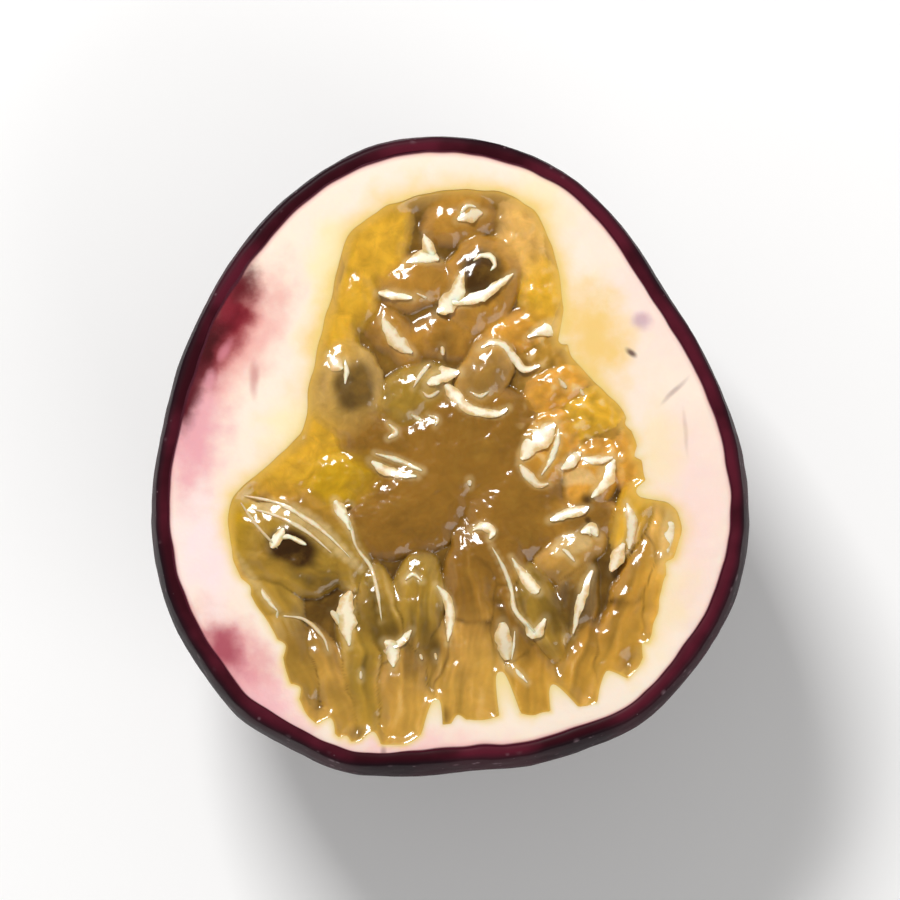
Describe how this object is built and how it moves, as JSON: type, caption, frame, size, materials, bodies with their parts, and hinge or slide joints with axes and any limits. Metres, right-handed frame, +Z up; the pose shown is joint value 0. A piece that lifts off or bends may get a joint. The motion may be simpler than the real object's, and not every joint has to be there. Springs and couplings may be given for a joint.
{
  "type": "passion fruit half",
  "caption": "Half of a ripe purple passion fruit, cut face up, with leathery peel, pale pith and a cavity full of juice sacs.",
  "frame": {"origin": "on the flat spot under the dome, at the middle of the outline seen from above", "axes": "+Y along the fruit towards its narrow end, +Z up, square to the cut face"},
  "size_m": [0.052, 0.0558, 0.0277],
  "materials": {
    "peel": "waxy leathery purple-black skin with fine pale specks",
    "pith": "moist spongy cream pith, blushed pink near the peel",
    "pulp": "wet golden gel of juice sacs"
  },
  "bodies": {
    "root": {"peel": "peel", "pith": "pith", "pulp": "pulp"}
  },
  "joints": []
}
